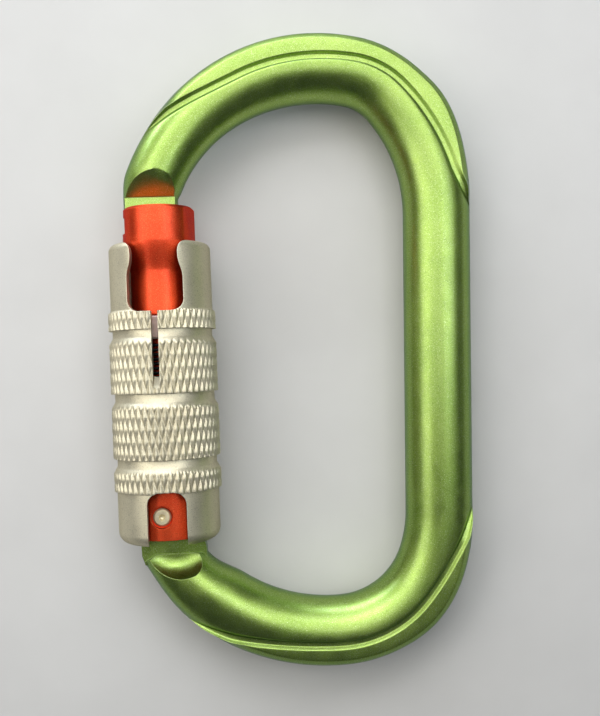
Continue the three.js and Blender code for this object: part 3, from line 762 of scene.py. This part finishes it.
def gate_profile():
    """Head, waist, stem and hinge block, as (radius, y) pairs."""
    chamfer = GATE_CHAMFER
    ease = NECK_EASE * (HEAD_BOTTOM - WAIST_TOP)
    waist_bottom = span("spring_collar")[1] + GAP
    neck = bezier((HEAD_RADIUS, HEAD_BOTTOM), (HEAD_RADIUS, HEAD_BOTTOM - ease),
                  (WAIST_RADIUS, WAIST_TOP + ease), (WAIST_RADIUS, WAIST_TOP), 16)
    return [
        (0, HEAD_TOP), (HEAD_RADIUS - chamfer, HEAD_TOP), (HEAD_RADIUS, HEAD_TOP - chamfer),
        (HEAD_RADIUS, HEAD_BOTTOM), *neck, (WAIST_RADIUS, waist_bottom), (STEM_RADIUS, waist_bottom),
        (STEM_RADIUS, BLOCK_TOP), (BLOCK_RADIUS - chamfer, BLOCK_TOP), (BLOCK_RADIUS, BLOCK_TOP - chamfer),
        (BLOCK_RADIUS, GATE_BOTTOM), (0, GATE_BOTTOM),
    ]


def nose_slot():
    """The T-shaped slot that takes the nose, open towards -x."""
    neck, key = NOSE_NECK_HALF + GAP, NOSE_KEY_HALF + GAP
    key_top, key_bottom = NOSE_KEY_TOP + SLOT_ROOF_GAP, NOSE_END_Y - SLOT_FLOOR_GAP
    half = [(neck, HEAD_TOP + 1), (neck, key_top), (key, key_top), (key, key_bottom)]
    return prism([(y, z) for z, y in mirrored(half)], -FAR, HEAD_SLOT_END, "yzx")


def head_facet():
    """Cuts two flats that meet at a crease on the side that faces the spine."""
    half = math.sqrt(HEAD_RADIUS ** 2 - HEAD_FACET_X ** 2)
    outline = [(HEAD_FACET_X, half), (HEAD_RADIUS, 0), (HEAD_FACET_X, -half), (FAR, -half), (FAR, half)]
    return prism([(z, x) for x, z in outline], (HEAD_BOTTOM + WAIST_TOP) / 2, HEAD_TOP + 1, "zxy")


def heel_relief():
    """Rounds the fork's lower inner corner about the hinge pin."""
    start = math.degrees(math.asin((GATE_BOTTOM - PIN_Y) / GATE_HEEL_RADIUS))
    end = -3
    curve = arc((PIN_X, PIN_Y), GATE_HEEL_RADIUS, start, end, 16)
    under = GATE_BOTTOM - 1
    return prism([*curve, (FAR, curve[-1][1]), (FAR, under), (curve[0][0], under)], -FAR, FAR)


def radial_pin(radius, start, end, chamfer=0.0, segments=40):
    """A cylinder that points out from the gate's axis at the guide pin's place."""
    profile = [(0, start), (radius - chamfer, start), (radius, start + chamfer),
               (radius, end - chamfer), (radius - chamfer, end), (0, end)]
    pin = turned(list(dict.fromkeys(profile)), segments)  # without a chamfer, some points fall together
    aim = Matrix.Rotation(math.radians(GUIDE_AZIMUTH), 4, "Y") @ Matrix.Rotation(-math.pi / 2, 4, "Z")
    return move(pin, Matrix.Translation((0, GUIDE_Y, 0)) @ aim)


def build_gate():
    body = turned(gate_profile(), 128)
    under = RIVET_HEAD_FACE - RIVET_HEAD_HEIGHT - GAP
    bore = turned([(0, FORK_TOP - 1), (SPRING_BORE, FORK_TOP - 1), (SPRING_BORE, SPRING_BORE_TOP),
                   (0, SPRING_BORE_TOP)], 48)
    fork = prism([(-FAR, GATE_BOTTOM - 1), (FAR, GATE_BOTTOM - 1), (FAR, FORK_TOP), (-FAR, FORK_TOP)],
                 -FORK_HALF, FORK_HALF)
    cut(body, nose_slot(), head_facet(), fork, bore)
    cut(body, cross_pin(RIVET_RADIUS + GAP, -FAR, FAR), cross_pin(RIVET_RECESS_RADIUS, under, FAR),
        cross_pin(RIVET_RECESS_RADIUS, -FAR, -under))
    cut(body, heel_relief(), radial_pin(GUIDE_RADIUS + GAP, GUIDE_REACH[0] - GAP, FAR))
    finish_piece(body, "gate_body", "gate_red", RED)


# ---------- sleeve ----------

def sleeve_outside():
    """The outside of the sleeve from the skirt up, as (radius, y) pairs."""
    skirt, lip = SKIRT_ROUNDING, LIP_ROUNDING
    outline = arc((SLEEVE_RADIUS - skirt, SLEEVE_BOTTOM + skirt), skirt, -90, 0, 12)
    for i, (start, end) in enumerate(BANDS):
        rows = round((end - start) / KNURL_HEIGHT * KNURL_STEPS * 2)
        outline.append((SLEEVE_RADIUS if i == 0 else NECK_RADIUS, start))
        outline += [(BAND_RADIUS, lerp(start, end, row / rows)) for row in range(rows + 1)]
        last = i == len(BANDS) - 1
        foot, bevel = (SLEEVE_RADIUS, TOP_BAND_BEVEL) if last else (NECK_RADIUS, BAND_BEVEL)
        outline += [(lerp(BAND_RADIUS, foot, step / BEVEL_STEPS), end + bevel * step / BEVEL_STEPS)
                    for step in range(1, BEVEL_STEPS + 1)]
    return outline + arc((SLEEVE_RADIUS - lip, SLEEVE_TOP - lip), lip, 0, 90, 8)


def ridge(place):
    """0 in the bottom of a V groove at each whole number, 1 halfway between two."""
    return 1 - abs(2 * (place % 1) - 1)


def knurled(angle, radius, y):
    """The radius with two crossing sets of helical V grooves cut into the bands."""
    around = angle / ROUND * KNURL_COUNT
    up = y / KNURL_HEIGHT
    pyramid = min(ridge(around + up), ridge(around - up))
    return min(radius, BAND_RADIUS - KNURL_DEPTH * (1 - min(1, KNURL_FLAT * pyramid)))


def window_shape():
    """The U-shaped window between the two prongs, open at the top."""
    wide, neck, corner, top = WINDOW_HALF, WINDOW_NECK, WINDOW_CORNER, SLEEVE_TOP
    shoulder, throat = WINDOW_SHOULDER, WINDOW_THROAT
    pull = (throat - shoulder) / 2
    tip = neck + WINDOW_FLARE
    half = arc((wide - corner, WINDOW_BOTTOM + corner), corner, -90, 0, 10)
    half += bezier((wide, shoulder), (wide, shoulder + pull), (neck, throat - pull), (neck, throat), 10)
    half += bezier((neck, throat), (neck, top - WINDOW_TIP_DROP), (neck + WINDOW_TIP, top), (tip, top), 10)
    return mirrored(half + [(tip, top + 1)])


def arch_shape():
    """The arch over the hinge rivet, open at the skirt's edge."""
    corner = ARCH_CORNER
    curve = arc((ARCH_HALF - corner, ARCH_TOP - corner), corner, 0, 90, 12)
    return mirrored([(ARCH_HALF, SLEEVE_BOTTOM - 1)] + curve)


def slit():
    """The saw cut above the second band. Its floor slopes out to the surface at the lower end."""
    end, top = SLIT_BOTTOM + SLIT_SLOPE, WINDOW_BOTTOM + 1
    outline = [(SLIT_BOTTOM, FAR), (SLIT_BOTTOM, SLEEVE_RADIUS), (end, SLEEVE_BORE - GAP),
               (end, STEM_RADIUS), (top, STEM_RADIUS), (top, FAR)]
    return prism(outline, SLIT_X - SLIT_HALF, SLIT_X + SLIT_HALF, "yzx")


def guide_pocket():
    """The part of the sleeve's wall that the guide pin sweeps."""
    start, end = GUIDE_AZIMUTH - SLEEVE_TURN - POCKET_MARGIN, GUIDE_AZIMUTH + POCKET_MARGIN
    clear = GUIDE_RADIUS + GAP
    bottom = GUIDE_Y - SLEEVE_LIFT - clear
    inner = SLEEVE_BORE - 0.5
    outline = arc((0, 0), POCKET_RADIUS, start, end, 40) + arc((0, 0), inner, end, start, 40)
    return prism([(x, -y) for x, y in outline], bottom, bottom + SLEEVE_LIFT + 2 * clear, "xzy")


def through(outline, degrees):
    """A cutter right through the sleeve, turned about the gate's axis."""
    return move(prism(outline, -FAR, FAR), Matrix.Rotation(math.radians(degrees), 4, "Y"))


PLAIN, BARE_CUT, KNURLED = range(3)  # the sleeve's materials, in their order on it


def sleeve_surface(face):
    """Which of the sleeve's materials a face gets."""
    x, y, z = face.center
    if abs(x - SLIT_X) < SLIT_HALF and SLIT_BOTTOM <= y <= SLIT_BOTTOM + SLIT_SLOPE and z > 0:
        return BARE_CUT if face.normal.y > 0.5 else PLAIN
    margin = 0.05
    in_band = any(start < y < end for start, end in BANDS)
    outside = math.hypot(x, z) > BAND_RADIUS - KNURL_DEPTH - margin
    return KNURLED if in_band and outside else PLAIN


def build_sleeve():
    bore = [(SLEEVE_BORE, SLEEVE_TOP), (SLEEVE_BORE, SHOULDER[1]), (SHOULDER_BORE, SHOULDER[1]),
            (SHOULDER_BORE, SHOULDER[0]), (SLEEVE_BORE, SHOULDER[0]), (SLEEVE_BORE, SLEEVE_BOTTOM)]
    body = turned(sleeve_outside() + bore, KNURL_COUNT * KNURL_STEPS, closed=True, radius_at=knurled)
    cut(body, through(window_shape(), WINDOW_TURN), through(arch_shape(), ARCH_TURN), slit(), guide_pocket())
    for face in body.data.polygons:
        face.material_index = sleeve_surface(face)
    finish_piece(body, "locking_sleeve", "sleeve_champagne", CHAMPAGNE, BARE, KNURL)


# ---------- small pieces ----------

def washer(node, chamfer=0.25):
    """A ring about the stem that fills its CAD node's height."""
    start, end = span(node)
    inner, outer = RING_INNER, RING_OUTER
    profile = [(inner, start), (outer - chamfer, start), (outer, start + chamfer), (outer, end - chamfer),
               (outer - chamfer, end), (inner, end)]
    return turned(profile, 96, closed=True)


def coil(spring, node, steps=32, sides=12):
    """A helical spring that fills its CAD node's height."""
    low, high = span(node)
    wire, radius, turns = spring["wire"], spring["radius"], spring["turns"]
    rise = (high - low - 2 * wire) / (ROUND * turns)
    rings = []
    for i in range(turns * steps + 1):
        angle = ROUND * i / steps
        out = Vector((math.cos(angle), 0, -math.sin(angle)))
        along = Vector((-radius * math.sin(angle), rise, -radius * math.cos(angle))).normalized()
        side = along.cross(out)
        centre = out * radius + Vector((0, low + wire + rise * angle, 0))
        rings.append([centre + wire * (math.cos(a) * out + math.sin(a) * side)
                      for a in angles(0, 360, sides)[:-1]])
    return loft(rings)


def rivet():
    """The rivet's shank and two formed heads, each with a round dimple in the middle."""
    face, under, head = RIVET_HEAD_FACE, RIVET_HEAD_FACE - RIVET_HEAD_HEIGHT, RIVET_HEAD_RADIUS
    depth = RIVET_DIMPLE_DEPTH
    dome = [(head, under), (head, face - RIVET_CHAMFER), (head - RIVET_CHAMFER, face),
            (RIVET_DIMPLE + RIVET_DIMPLE_RIM, face)]
    dimple = [(RIVET_DIMPLE * math.cos(a), face - depth * math.sin(a)) for a in angles(0, 90, 6)[:-1]]
    half = [(RIVET_RADIUS, under), *dome, *dimple, (0, face - depth)]
    body = turned([(r, -y) for r, y in reversed(half)] + half, 64)
    return move(body, Matrix.Translation((PIN_X, PIN_Y, 0)) @ Matrix.Rotation(math.pi / 2, 4, "X"))


def plunger():
    low, high = span("gate_plunger")
    radius, foot, chamfer = PLUNGER_RADIUS, 0.5, 0.2
    nose = arc((radius - foot, low + foot), foot, -90, 0, 6)
    return turned([(0, low), *nose, (radius, high - chamfer), (radius - chamfer, high), (0, high)], 64)


def compress(obj):
    """Gives a spring a mesh of its own."""
    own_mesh(obj)


def build_small_pieces():
    finish_piece(rivet(), "hinge_rivet", "steel", STEEL)
    finish_piece(plunger(), "gate_plunger", "steel", STEEL)
    finish_piece(radial_pin(GUIDE_RADIUS, *GUIDE_REACH, chamfer=0.15), "guide_pin", "steel", STEEL)
    finish_piece(washer("thrust_ring"), "thrust_ring", "steel", STEEL)
    finish_piece(washer("spring_collar"), "spring_collar", "collar_acetal", ACETAL)
    gate_spring = finish_piece(coil(GATE_SPRING, "gate_spring"), "gate_spring", "steel", SPRING_STEEL)
    sleeve_spring = finish_piece(coil(SLEEVE_SPRING, "sleeve_spring"), "sleeve_spring", "black_wire", BLACK)
    compress(gate_spring)
    compress(sleeve_spring)


# ---------- studio ----------

def add_floor():
    """A plain pale floor, a little mottled."""
    look = Look("floor", Roughness=0.85)
    colour = look.ramp(look.noise(18, 3), (0.3, (0.56, 0.555, 0.55)), (0.7, (0.59, 0.585, 0.58)))
    material = look.feed(Base_Color=colour)
    half, thickness = 1500, 2
    floor = prism([(-half, -half), (half, -half), (half, half), (-half, half)], -thickness, 0)
    move(floor, Matrix.Scale(MM, 4))
    floor.name = "floor"
    floor.data.materials.append(material)


def add_light(name, tilt, turn, distance, size, power, colour):
    """A soft box that looks at the origin from tilt degrees off the vertical, turned about it from +x."""
    data = bpy.data.lights.new(name, "AREA")
    data.shape = "RECTANGLE"
    data.size, data.size_y = size
    data.energy = power
    data.color = colour
    light = bpy.data.objects.new(name, data)
    tilt, turn = math.radians(tilt), math.radians(turn)
    back = Vector((math.sin(tilt) * math.cos(turn), math.sin(tilt) * math.sin(turn), math.cos(tilt)))
    light.location = back * distance
    light.rotation_euler = back.to_track_quat("Z", "Y").to_euler()
    bpy.context.scene.collection.objects.link(light)


def add_lights():
    add_light("left_box", 45, 168, 0.45, (0.32, 0.26), 0.72, (1.0, 0.97, 0.88))
    add_light("right_box", 37, 12, 0.45, (0.17, 0.26), 0.38, (0.93, 0.98, 1.0))
    add_light("top_box", 19, 88, 0.27, (0.28, 0.22), 0.36, (1.0, 0.98, 0.93))
    add_light("window", 44, 96, 0.5, (0.44, 0.24), 1.0, (0.97, 0.98, 1.0))
    add_light("low_window", 80, 108, 0.5, (0.6, 0.16), 2.6, (0.85, 0.92, 1.0))
    world = bpy.data.worlds.new("studio")
    world.use_nodes = True
    background = world.node_tree.nodes["Background"]
    background.inputs["Color"].default_value = (0.8, 0.88, 1.0, 1)
    background.inputs["Strength"].default_value = 0.09
    bpy.context.scene.world = world


def add_camera():
    """Straight above the part, turned a little, as near as the object was."""
    camera = bpy.data.objects.new("camera", bpy.data.cameras.new("camera"))
    camera.data.lens = 46.4
    camera.data.sensor_width = 36
    camera.data.shift_y = 0.0056
    camera.data.clip_start = 0.01
    camera.location = (0.9 * MM, -2.1 * MM, 172 * MM)
    camera.rotation_euler = (0, 0, math.radians(-2.21))
    bpy.context.scene.collection.objects.link(camera)
    bpy.context.scene.camera = camera


build_frame()
build_gate()
build_sleeve()
build_small_pieces()
add_floor()
add_lights()
add_camera()
bpy.context.scene.view_settings.view_transform = "Standard"
